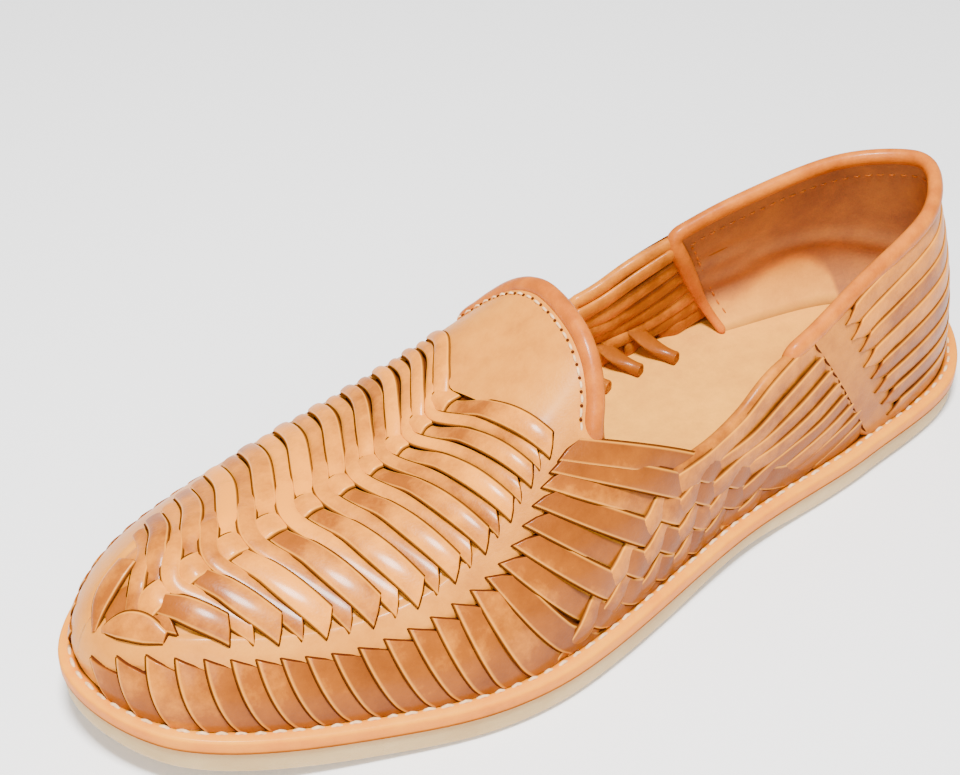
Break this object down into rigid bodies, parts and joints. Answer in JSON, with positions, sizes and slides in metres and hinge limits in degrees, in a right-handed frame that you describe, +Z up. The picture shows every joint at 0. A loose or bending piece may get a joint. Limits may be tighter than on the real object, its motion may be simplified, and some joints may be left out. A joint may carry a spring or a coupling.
{
  "type": "huarache sandal",
  "caption": "Left woven leather huarache slip-on with a plug and side weave, banded apron with throat tab, bound collar, leather midsole and crepe rubber sole.",
  "frame": {"origin": "on the floor, under the middle of the sole's outline", "axes": "+X towards the toe, +Y towards the outer (little toe) side of the left foot, +Z up"},
  "size_m": [0.2952, 0.1124, 0.0883],
  "materials": {
    "crepe_rubber": "off-white translucent crepe rubber, matt with a fine crumb",
    "sole_leather": "natural vegetable-tanned edge, golden tan with a dark burnished lower line",
    "lining_leather": "plain pale beige leather, lightly mottled, satin",
    "woven_leather": "orange-tan leather strips, smooth and half gloss, darker at the welt, pale cut edges",
    "apron_leather": "pale tan leather, smooth, polished to a soft gloss",
    "binding_leather": "rolled peach-tan leather, glossy"
  },
  "bodies": {
    "root": {"outsole": "crepe_rubber", "midsole": "sole_leather", "insole": "lining_leather", "upper": "woven_leather", "apron": "apron_leather", "heel_panel_outer": "apron_leather", "heel_panel_inner": "apron_leather", "tab_binding": "binding_leather", "collar_binding": "binding_leather"}
  },
  "joints": []
}
